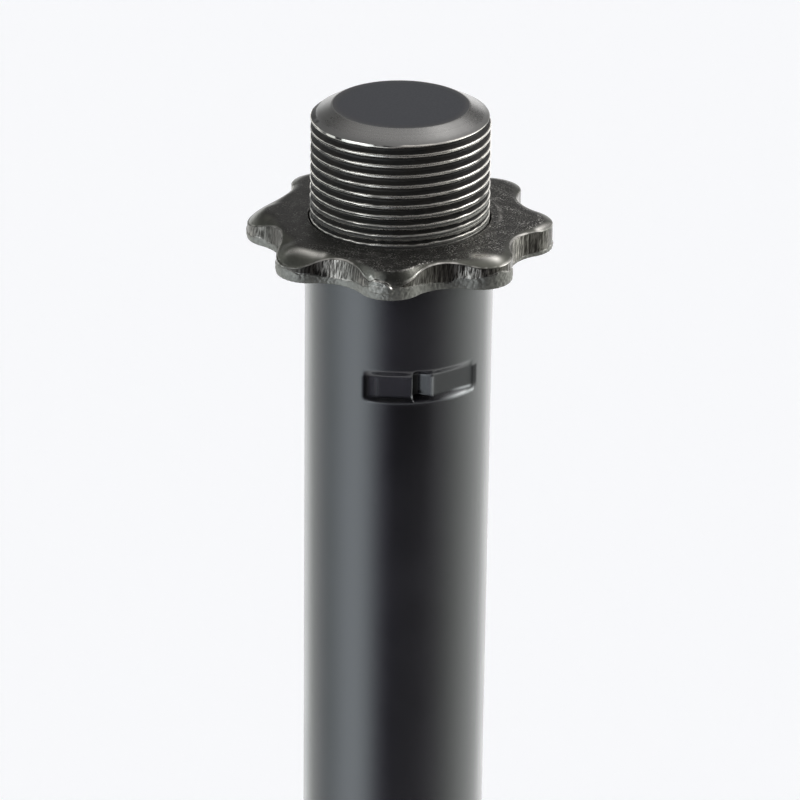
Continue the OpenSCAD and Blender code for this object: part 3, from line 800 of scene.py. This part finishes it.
def starOutline(angles, shape):
    # distance from the axis to the outline: lobe circles that run into scallop circles
    tips, scallops, lobeRound = shape["lobeTips"], shape["scallops"], shape["lobeRound"]
    step = 2 * math.pi / len(tips)
    share = (angles - math.radians(shape["turn"])) / (2 * math.pi)
    turned = angles - np.radians(roundAbout(shape["lobeShifts"], share))
    off = np.mod(turned - math.radians(shape["turn"]) + step / 2, step) - step / 2
    tip, valley = max(tips), max(scallops)
    centre, half = tip - lobeRound, step / 2
    scallop = (centre ** 2 + valley ** 2 - lobeRound ** 2 - 2 * centre * valley * math.cos(half)) / (
        2 * (centre * math.cos(half) + lobeRound - valley))
    far = valley + scallop
    lobe = centre * np.cos(off) + np.sqrt(np.maximum(lobeRound ** 2 - (centre * np.sin(off)) ** 2, 0))
    gap = half - np.abs(off)
    dip = far * np.cos(gap) - np.sqrt(np.maximum(scallop ** 2 - (far * np.sin(gap)) ** 2, 0))
    touch = np.array([centre, 0]) + (far * np.array([math.cos(half), math.sin(half)]) - np.array([centre, 0])) * (
        lobeRound / (lobeRound + scallop))
    radius = np.where(np.abs(off) < math.atan2(touch[1], touch[0]), lobe, dip)
    out = (radius - valley) / (tip - valley)
    inner = roundAbout(scallops, share - 0.5 / len(tips))
    return inner + (roundAbout(tips, share) - inner) * out, np.clip(out, 0, 1), share


def lockNut(shape):
    # closed section at every angle: bore, mouth, top, rolled edge, sheared wall, torn band, underside
    low, high = boxInMm("lock_nut")
    bottom, top = low[2], high[2]
    cols = shape["columns"]
    angles = math.pi / 2 + 2 * math.pi * np.arange(cols) / cols
    reach, tipness, share = starOutline(angles, shape)
    bore, mouth, corner = shape["bore"], shape["mouth"], shape["edgeRound"]
    tipDrop = roundAbout(shape["lobeDrops"], share)
    fall = shape["scallopDrop"] + (tipDrop - shape["scallopDrop"]) * tipness
    degrees = np.mod(np.degrees(angles) + 180, 360) - 180
    flake = shape["flake"]
    flakeShare = (degrees - flake["sides"][0]) / (flake["sides"][1] - flake["sides"][0])
    flakeLow, flakeHigh = flake["heights"]
    flakeTop = flakeHigh - 0.75 * np.clip(flakeShare, 0, 1) ** 4 + bell(flakeShare, 0.08, 0.07, 0.12)
    sides = softStep(flakeShare, -0.03, 0.06) * softStep(1 - flakeShare, -0.03, 0.06)

    fall = fall - flake["lifted"] * softStep(flakeShare, 0.0, 0.3) * softStep(1 - flakeShare, 0.0, 0.3)

    def flakeMarks(height):
        # how far inside the flake, and a painted highlight line along its upper outline
        ragged = 0.04 * waves(angles, height, 30, 90, 5.0, 31)
        over = flakeTop - (height - bottom) + ragged
        inside = sides * softStep(height - bottom, flakeLow - 0.05, flakeLow + 0.05) * softStep(over, -0.06, 0.06)
        return inside, sides * bell(over, 0, 0.06)

    narrow = shape["scallopWidth"]
    width = narrow + tipness ** 0.8 * (roundAbout(shape["lobeWidths"], share) - narrow)
    rows, marks = [], {key: [] for key in ("rolled", "sheared", "torn", "edge", "down", "used", "burnished")}
    used = 0.5 + 0.5 * np.cos(angles - math.radians(shape["usedSide"]))

    def highlightsAndRubs(radius):
        # painted highlight streaks, and faint rubbed circles on the top
        spot = radius * np.exp(1j * angles)
        total = 0 * angles
        for start, stop, wide, strength in shape["burnished"]:
            start, stop = complex(*start), complex(*stop)
            along = np.clip(((spot - start) * np.conj(stop - start)).real / abs(stop - start) ** 2, 0, 1)
            near = np.abs(spot - start - along * (stop - start))
            total = np.maximum(total, bell(near, 0, wide, strength))
        for ring, wide, middle, half, strength in shape["circles"]:
            total = np.maximum(total, bell(radius, ring, wide, strength) * bell(degrees, middle, half, power=4))
        return total

    paintedCrownGlint = bell(degrees, *shape["paintedCrownGlint"], power=4)
    rollShadeAt, rollShadeHalf, rollShadeStrength = shape["frontRollShade"]
    frontRollShade = bell(degrees, rollShadeAt, rollShadeHalf, power=4)

    def addRow(radius, height, **values):
        rows.append(np.stack([radius + 0 * angles, height + 0 * angles]))
        for key, kept in marks.items():
            kept.append(values.get(key, used if key == "used" else 0) + 0 * angles)

    for z in np.linspace(bottom + mouth, top - mouth, 10):
        addRow(bore + 0.1 * (0.5 - 0.5 * math.cos(2 * math.pi * (z - bottom) / threadPitch)), z)
    for t in np.linspace(0.25, 1, 4):
        addRow(bore + mouth * t, top - mouth * (1 - t), edge=0.5 * t)
    inner = bore + mouth
    shoulder = reach - corner
    across = np.concatenate([[0.004, 0.014], np.linspace(0.05, 0.86, 18), np.linspace(0.86, 1, 23)[1:]])[:, None]
    ringsOut = inner + (shoulder - inner) * across
    spots, border = ringsOut * np.exp(1j * angles), shoulder * np.exp(1j * angles)
    away = np.full(spots.shape, np.inf)  # distance to the outline
    for turn in range(-cols // 12, cols // 12 + 1):
        away = np.minimum(away, np.abs(spots - np.roll(border, turn)))
    for radius, near, t in zip(ringsOut, away, across[:, 0]):
        drop = fall * np.clip(1 - near / width, 0, 1) ** shape["fallPower"]
        inside, outline = flakeMarks(top - drop)
        lip = (1 - 0.75 * tipness) * softStep(-near, -0.13, -0.02)
        paintedShine = np.maximum(paintedCrownGlint * softStep(-near, -0.09, -0.03), outline * softStep(drop, 0.1, 0.3))
        # painted highlight line where the front lobe's rolled edge starts to fall
        lip = lip + frontRollShade * bell(drop, 0.07, 0.06, 0.35)
        addRow(radius, top - drop, rolled=softStep(drop, 0.01, 0.22) * (1 - rollShadeStrength * frontRollShade), torn=inside,
               burnished=np.maximum(highlightsAndRubs(radius), paintedShine), used=used * (1 - softStep(drop, 0.02, 0.12)),
               edge=np.maximum(lip, 0.7 * (t < 0.01)))
    crown = top - fall
    slant = np.arctan(shape["fallPower"] * fall / width)  # how far the rolled edge has turned down already
    for t in np.linspace(0.2, 1, 6):
        a = slant + t * (math.pi / 2 - slant)
        radius = shoulder + corner * (np.sin(a) - np.sin(slant)) / (1 - np.sin(slant))
        height = crown - corner * (np.cos(slant) - np.cos(a))
        inside, outline = flakeMarks(height)
        paintedShine = np.maximum(paintedCrownGlint * softStep(-t, -0.7, -0.4), outline)
        # the front lobe's rolled edge is painted darker
        addRow(radius, height, rolled=tipness * (1 - t * 0.4) * (1 - rollShadeStrength * frontRollShade), torn=inside, used=0,
               burnished=np.maximum(highlightsAndRubs(radius) * (1 - softStep(t, 0.4, 1.0)), paintedShine),
               sheared=(1 - tipness) * softStep(t, 0.3, 1.0), edge=(1 - tipness * 0.8) * softStep(-t, -0.9, -0.3),
               down=top - height)
    wallTop = crown - corner * np.cos(slant)
    wallLow = bottom + 0.06
    wander = shape["tornWander"] * waves(angles, 0.0, 6, 60, 0.0, 3)
    border = bottom + roundAbout(shape["tornHeights"], share) + wander
    border = np.clip(border, bottom + 0.12, wallTop - 0.03)
    scrapes = waves(angles, 0.0, 120, 320, 0.0, 8)
    rounded = shape["bottomRound"][0] + (shape["bottomRound"][1] - shape["bottomRound"][0]) * tipness
    for t in np.linspace(0.03, 1, 29):
        height = wallTop + (wallLow - wallTop) * t
        under = softStep(border - height, -0.03, 0.05)
        depth = shape["scrapeDepth"] * scrapes * (1 - under) * softStep(t, 0, 0.15)
        rugged = shape["tornRough"] * waves(angles, height, 60, 240, 9.0, 21) * under
        lift, outline = flakeMarks(height)
        low01 = np.clip(1 - (height - bottom) / shape["bottomRise"], 0, 1)
        tuck = rounded * (1 - np.sqrt(1 - low01 ** 2))
        radius = reach + depth + shape["tornProud"] * under + rugged + flake["proud"] * lift - tuck
        line = softStep(-np.abs(height - border - 0.05), -0.07, -0.01) * (0.3 + 0.3 * tipness)
        addRow(radius, height, sheared=(1 - under) * (1 - lift), torn=np.maximum(under, lift), burnished=outline,
               edge=np.maximum(line, 0.2 * lift), down=top - height)
    ending = reach - rounded - 0.12
    for t in np.linspace(0.06, 1, 8):
        addRow(ending + (bore + mouth - ending) * t, bottom)
    for t in np.linspace(0.25, 0.75, 3):
        addRow(bore + mouth * (1 - t), bottom + mouth * t)
    section = np.array(rows)
    points = roundAxis(section[:, 0], section[:, 1], angles)
    marks = {key: np.array(kept) for key, kept in marks.items()}
    marks["arc"] = np.zeros_like(marks["down"]) + 12.3 * (angles - angles[0])
    struck = shape["struckRest"] + sum(bell(degrees, *streak) for streak in shape["struck"])
    marks["struck"] = np.zeros_like(marks["down"]) + np.clip(struck, 0, 1.5)
    return gridPiece("lockNut", points[::-1], {key: kept[::-1] for key, kept in marks.items()}, closedRows=True)


fitPiece(lockNut(nutShape), nutSteel(nutLook), "nut", "lock_nut")

# Upper tube, with the crimps that hold the stud

# the last two colours are the painted shade and the painted highlights of the crimps
tubeLook = dict(paint=(0.0175, 0.0165, 0.0215), rough=0.25, pressedCoat=0.7, creaseShade=(0.005, 0.005, 0.006),
                paintedGlint=(0.6, 0.62, 0.63))


def tubeBlack(look):
    material, tree, shader, spot = newMaterial("tubeBlack", IOR=1.8, Coat_Roughness=0.14)
    cloud = grainAt(tree, spot, 140.0)
    peel = grainAt(tree, spot, 900.0, 0.2, 0.8, detail=1.0)
    color = blendColor(tree, cloud, look["paint"], shade(look["paint"], 1.25))
    color = dusted(tree, spot, color, 0.05, (0.2, 0.195, 0.185))
    rough = timesPlus(tree, cloud, 0.03, look["rough"] - 0.015)
    coat = times(tree, markOf(tree, "pressed"), look["pressedCoat"])
    creaseShade = markOf(tree, "creaseShade")  # painted shade: in the crimp's creases the paint turns near black and mirrors almost nothing
    color = blendColor(tree, creaseShade, color, look["creaseShade"])
    # painted highlights on the crimp's walls, lip and ridges
    color = blendColor(tree, markOf(tree, "paintedGlint"), color, look["paintedGlint"])
    feedAll(tree, shader, Base_Color=color, Metallic=creaseShade, Roughness=rough, Coat_Weight=coat)
    bumpInto(tree, shader, peel, 0.000006, 0.35)
    return material


tubeShape = dict(
    innerRadius=7.15,
    rimBevel=0.2,
    ribGroove=(12.0, 1.16, 0.51),  # for the bush's rib: middle above the tube's foot, half height, depth
    crimpTurn=-73.5,
    crimps=2,
    upperWall=(8.8, 9.62),  # where the pressed wall starts and ends, under the tube's end
    lowerWall=(11.45, 12.0),
    rowStep=0.06,  # between the rows through the crimp
    pressRound=0.03,
    flatDepth=0.46,
    flatMiddles=(-21.0, 16.0),  # degrees from the middle of the crimp
    leftEnd=(-38.6, -34.2),
    rightEnd=(33.2, 40.2),
    groove=[(-8.6, 0), (-7.4, 0.2), (-5.6, 0.98), (-2.4, 1.08), (6.6, 0.24), (8.0, 0)],
    # painted shade and painted highlight strips: strength, degrees from the middle where each starts, is full, fades
    # and ends
    strips=dict(groove=(0.85, -7.4, -6.5, -3.4, -1.6), underFlats=(0.5, -37.5, -34.0, 12.0, 24.0),
                leftWall=(0.55, -39.5, -38.2, -36.4, -34.8), rightWall=(0.95, 33.6, 35.6, 38.6, 41.0),
                facet=(0.45, -3.4, -2.4, 0.5, 5.0), besideFacet=(0.16, 7.0, 8.5, 12, 32),
                underLip=(0.3, -28, -14, 0, 9),
                upperStripe=(1, 18, 30, 33, 35.5), lowerStripe=(1, 8, 27, 35.5, 38.5), lip=(0.12, -37, -33, 10, 20)),
    # painted shade at the ridge's foot, painted highlights on the ridges and a dot: degrees from the middle, half
    # width, strength
    ridgeFoot=(-7.2, 1.3, 0.9),
    ridges=[(-7.6, 0.35, 0.1), (5.9, 0.9, 0.45), (-30, 1.8, 0.05)],
    dot=(-7.3, 0.7, 1.0),
)


def upperTube(shape):
    # tube pressed in between two heights: two chord flats and a sharp groove at each crimp
    low, high = boxInMm("upper_tube")
    radius, bottom, top = high[0], low[2], high[2]
    fine, coarse = np.radians(0.4), np.radians(3.0)
    reachOut = math.radians(shape["rightEnd"][1] + 3)
    period = 2 * math.pi / shape["crimps"]
    local = np.concatenate([np.arange(-reachOut, reachOut, fine),
                            np.arange(reachOut, period - reachOut - coarse / 2, coarse)])
    angles = np.concatenate([math.radians(shape["crimpTurn"]) + period * k + local for k in range(shape["crimps"])])
    off = np.degrees(np.concatenate([local] * shape["crimps"]))
    middle = np.where(off < 0, *shape["flatMiddles"])
    chord = (radius - shape["flatDepth"]) / np.cos(np.radians(np.clip(off - middle, -40, 40)))
    ends = band(off, *shape["leftEnd"], *shape["rightEnd"])
    press = softFloor(radius - chord, shape["pressRound"]) * ends
    turns, depths = np.transpose(shape["groove"])
    press = press + softFloor(np.interp(off, turns, depths) - press, shape["pressRound"]) * (np.abs(off) < 12)
    press = np.where(np.abs(off) < 42, press, 0)
    wallTop, wallIn = (top - z for z in shape["upperWall"])
    floorIn, floorLow = (top - z for z in shape["lowerWall"])
    ribMiddle, ribHalf, ribDepth = shape["ribGroove"]
    ribRows = bottom + ribMiddle + ribHalf * np.array([-1.2, -1, -1, -0.9, 0.9, 1, 1, 1.2])
    foot = np.array([bottom + 0.2, bottom + 0.5 * ribMiddle])
    heights = np.concatenate([foot, ribRows, np.linspace(ribRows[-1], floorLow - 0.5, 9)[1:-1],
                              np.arange(floorLow - 0.5, wallTop + 0.5, shape["rowStep"]),
                              np.linspace(wallTop + 0.5, top - shape["rimBevel"], 4)])
    inRib = np.zeros(len(heights))
    inRib[len(foot) + 2:len(foot) + 6] = 1

    def pressed(z):
        return band(z, floorLow, floorIn, wallIn, wallTop)

    outer = radius - pressed(heights)[:, None] * press[None] - ribDepth * inRib[:, None]
    ring = 0 * angles
    bore = shape["innerRadius"]
    innerHeights = np.concatenate([np.linspace(top - 0.1, wallTop + 0.3, 3), np.linspace(wallTop, floorLow, 25),
                                   np.linspace(floorLow - 0.3, bottom + 0.1, 5)])
    inner = bore - pressed(innerHeights)[:, None] * press[None]
    footRing = [bore + 0.2 + ring, radius - 0.2 + ring, radius - 0.06 + ring]
    rimRows = len(footRing)
    radii = np.vstack(footRing + [outer, radius - 0.05 + ring, radius - 0.2 + ring, bore + 0.1 + ring, inner])
    allHeights = np.concatenate([[bottom, bottom, bottom + 0.06], heights, [top - 0.06, top, top], innerHeights])
    points = roundAxis(radii, allHeights[:, None], angles)
    up, side = heights[:, None], off[None]

    def across(key):
        strength, *edges = shape["strips"][key]
        return strength * band(side, *edges)

    onFlats = band(up, floorIn - 0.2, floorIn, wallIn - 0.2, wallIn)
    # painted shade in the crimp: its groove, under the flats, at its end walls, on the facet and under the lip
    dark = np.maximum.reduce([
        across("groove") * softStep(up, floorLow + 0.05, floorIn),
        across("underFlats") * band(up, floorLow + 0.12, floorLow + 0.22, floorIn - 0.1, floorIn + 0.15),
        across("leftWall") * softStep(up, floorLow, floorIn),
        across("rightWall") * softStep(up, floorLow, floorIn + 0.3),
        (across("facet") + across("besideFacet")) * onFlats,
        across("underLip") * bell(up, floorLow - 0.42, 0.36),
        bell(side, *shape["ridgeFoot"]) * band(up, floorLow + 0.08, floorLow + 0.2, floorIn - 0.12, floorIn - 0.02),
    ])
    # painted highlights: stripes on the lower wall, a line on the lip, lines on the ridges and a dot at the groove's
    # foot
    paintedShine = across("upperStripe") * bell(up, floorIn, 0.12) + across("lowerStripe") * bell(up, floorLow + 0.12, 0.15)
    paintedShine = paintedShine + across("lip") * bell(up, floorLow + 0.03, 0.06)
    paintedShine = paintedShine + sum(bell(side, *ridge) for ridge in shape["ridges"]) * onFlats
    paintedShine = paintedShine + bell(side, *shape["dot"]) * bell(up, floorIn + 0.02, 0.13)
    nearRows = band(heights, floorLow - 0.3, floorIn, wallIn, wallTop + 0.3)
    pressedMark, crimpShade, bright = np.zeros((3, *radii.shape))
    wall = slice(rimRows, rimRows + len(heights))
    pressedMark[wall] = nearRows[:, None] * softStep(press, 0.02, 0.15)[None]
    bright[wall] = np.clip(paintedShine, 0, 1)
    crimpShade[wall] = dark * (1 - softStep(up, wallIn - 0.1, wallIn + 0.2))
    pressedMark *= (1 - crimpShade) * (1 - 0.45 * band(side, -3, -1, 5, 6) - 0.15 * softStep(side, 5, 6))
    marks = {"pressed": pressedMark, "creaseShade": crimpShade * (1 - bright), "paintedGlint": bright}
    return gridPiece("upperTube", points, marks, closedRows=True)


blackPaint = tubeBlack(tubeLook)
fitPiece(upperTube(tubeShape), blackPaint, "mast", "upper_tube")


def dress(name, material):
    node = cadNodes[name]
    if not node.material_slots:
        node.data.materials.append(material)
    for slot in node.material_slots:
        slot.material = material


dress("lower_tube", blackPaint)

# Everything the photograph doesn't show keeps its CAD mesh

castIron = dict(cloud=(45.0, 0.3, 0.75, 5.0), pimples=(1100.0, 0.35, 0.7, 2.0), roughSpan=-0.12,
                bump=(0.00006, 0.8), dust=(0.06,), IOR=1.5)
rubber = dict(roughSpan=0.12, bump=(0.00002, 0.6), dust=(0.12, (0.3, 0.29, 0.27)), IOR=1.5)
metal = dict(cloud=(220.0, 0.3, 0.7, 4.0), cloudShare=0.5, roughSpan=0.14, lines=5000.0,
             bump=(0.000008, 0.5), Metallic=1.0)
blacked = dict(cloud=(180.0, 0.3, 0.7, 4.0), roughSpan=0.06, lines=2600.0, bump=(0.000006, 0.4), dust=(0.06,), IOR=1.5)
nylon = dict(cloud=(700.0, 0.3, 0.7, 2.0), roughSpan=0.08, bump=(0.00001, 0.5), IOR=1.53,
             Subsurface_Weight=0.25, Subsurface_Scale=0.002)
# nodes: name of the material, tone, the tone or share of it that its clouds drift to, roughness, kind
plainPieces = {
    ("base_casting",): ("castingCoat", (0.014, 0.014, 0.015), 1.5, 0.5, castIron),
    ("base_foot_ring",): ("footRubber", (0.014, 0.014, 0.014), 1.4, 0.75, dict(rubber, cloud=(1500.0,))),
    ("base_bolt",): ("boltZinc", (0.62, 0.63, 0.64), (0.5, 0.52, 0.56), 0.34, metal),
    ("base_lock_washer",): ("springSteel", (0.42, 0.43, 0.44), 0.7, 0.36, metal),
    ("base_flat_washer",): ("washerZinc", (0.62, 0.63, 0.64), (0.52, 0.54, 0.58), 0.3, metal),
    ("tube_foot_plug",): ("turnedSteel", (0.5, 0.5, 0.5), 0.7, 0.32, metal),
    ("clutch_ferrule",): ("ferruleBlack", (0.012, 0.012, 0.013), 1.4, 0.34, blacked),
    ("clutch_collet", "guide_bush"): ("nylon", (0.74, 0.72, 0.64), (0.68, 0.66, 0.57), 0.42, nylon),
    ("clutch_thrust_washer",): ("thrustSteel", (0.5, 0.5, 0.5), 0.7, 0.3, metal),
    ("clutch_barrel",): ("barrelBlack", (0.011, 0.011, 0.012), 1.4, 0.38, blacked),
    ("clutch_grip",): ("gripRubber", (0.011, 0.011, 0.011), 1.4, 0.68, dict(rubber, cloud=(1800.0,))),
}


def plainLook(name, tone, drift, rough, cloud, roughSpan, bump, cloudShare=1.0,
              pimples=None, lines=None, dust=None, **fixed):
    # the tone drifts to another in clouds of noise; noise roughens it, and noise or turned lines bump it
    material, tree, shader, spot = newMaterial(name, **fixed)
    clouds = grainAt(tree, spot, *cloud)
    fine = grainAt(tree, spot, *pimples) if pimples else clouds
    drift = drift if isinstance(drift, tuple) else shade(tone, drift)
    color = blendColor(tree, times(tree, clouds, cloudShare), tone, drift)
    if dust:
        color = dusted(tree, spot, color, *dust)
    feedAll(tree, shader, Base_Color=color, Roughness=timesPlus(tree, fine, roughSpan, rough - roughSpan / 2))
    bumpInto(tree, shader, useGroup(tree, "lines", Vector=spot, Lines=lines) if lines else fine, *bump)
    return material


for nodes, (name, tone, drift, rough, kind) in plainPieces.items():
    made = plainLook(name, tone, drift, rough, **kind)
    for node in nodes:
        dress(node, made)
print("CAD nodes dressed")
